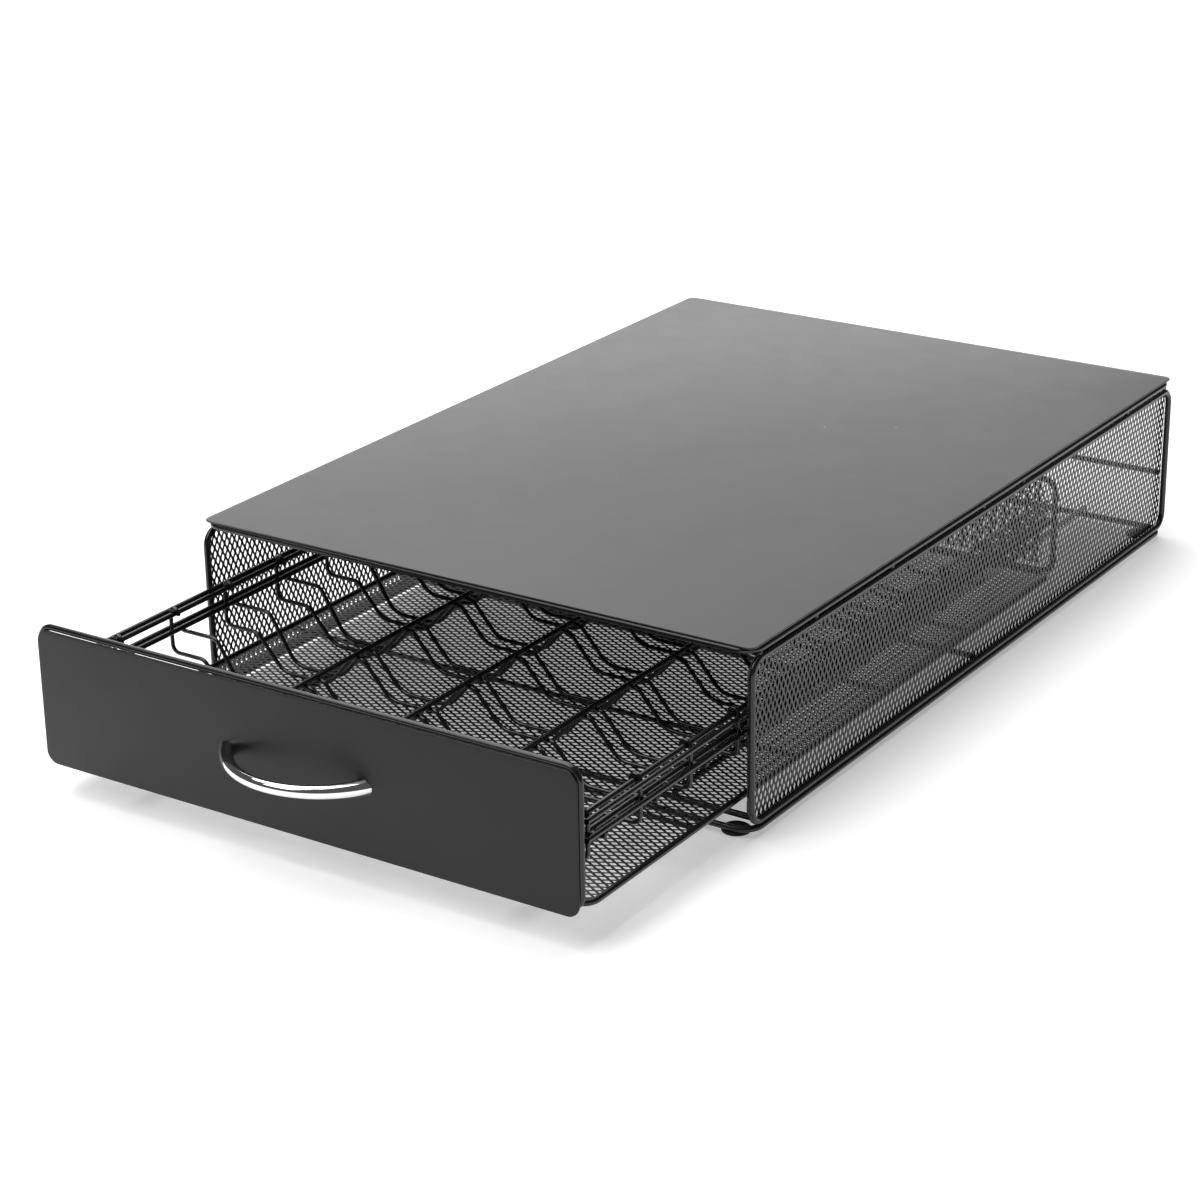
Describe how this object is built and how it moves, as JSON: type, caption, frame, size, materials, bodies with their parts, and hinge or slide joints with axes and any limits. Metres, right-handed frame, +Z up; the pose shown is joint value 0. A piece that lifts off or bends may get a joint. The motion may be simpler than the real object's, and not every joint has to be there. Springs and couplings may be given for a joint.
{
  "type": "coffee pod drawer",
  "caption": "Flat black wire and expanded mesh casing with a solid top, and a sliding drawer with a bow handle and wave-shaped wire lanes that hold coffee pods on edge.",
  "frame": {"origin": "middle of the whole object's footprint as it stands with its drawer 121.6 mm open, on the plane that the feet rest on; the casing's middle is 72.25 mm behind it", "axes": "+X to the right as seen from the front, +Y towards the back, +Z up; the drawer opens towards -Y"},
  "size_m": [0.302, 0.5846, 0.09],
  "materials": {
    "top_sheet_black": "satin",
    "panel_black": "satin",
    "black_wire": "gloss",
    "black_mesh": "gloss",
    "chrome": "polished",
    "screw_steel": "satin",
    "foot_rubber": "matte"
  },
  "bodies": {
    "casing": {"top_sheet": "top_sheet_black", "top_frame_wire": "black_wire", "bottom_frame_wire": "black_wire", "left_side_frame": "black_wire", "right_side_frame": "black_wire", "left_side_mesh": "black_mesh", "right_side_mesh": "black_mesh", "weld_tacks": "black_wire", "front_crossbar": "black_wire", "middle_crossbar": "black_wire", "rear_crossbar": "black_wire", "rear_stop_wire": "black_wire", "left_runner": "black_wire", "right_runner": "black_wire", "front_left_foot": "foot_rubber", "front_right_foot": "foot_rubber", "rear_left_foot": "foot_rubber", "rear_right_foot": "foot_rubber"},
    "drawer": {"front_panel": "panel_black", "front_frame_wire": "black_wire", "handle": "chrome", "handle_screws": "screw_steel", "floor_frame_wire": "black_wire", "floor_mesh": "black_mesh", "floor_cross_wires": "black_wire", "left_skid": "black_wire", "right_skid": "black_wire", "rear_frame_wire": "black_wire", "rear_mesh": "black_mesh", "left_upper_rails": "black_wire", "right_upper_rails": "black_wire", "left_lower_rails": "black_wire", "right_lower_rails": "black_wire", "lane_divider_1": "black_wire", "lane_divider_2": "black_wire", "lane_divider_3": "black_wire", "cradle_wire_01": "black_wire", "cradle_wire_02": "black_wire", "cradle_wire_03": "black_wire", "cradle_wire_04": "black_wire", "cradle_wire_05": "black_wire", "cradle_wire_06": "black_wire", "cradle_wire_07": "black_wire", "cradle_wire_08": "black_wire", "cradle_wire_09": "black_wire", "cradle_wire_10": "black_wire", "cradle_wire_11": "black_wire", "retaining_wire_01": "black_wire", "retaining_wire_02": "black_wire", "retaining_wire_03": "black_wire", "retaining_wire_04": "black_wire", "retaining_wire_05": "black_wire", "retaining_wire_06": "black_wire", "retaining_wire_07": "black_wire", "retaining_wire_08": "black_wire", "retaining_wire_09": "black_wire", "retaining_wire_10": "black_wire"}
  },
  "joints": [
    {"name": "drawer_slide", "type": "slide", "parent": "casing", "child": "drawer", "axis": [0, -1, 0], "range_m": [-0.1216, 0.178]}
  ]
}
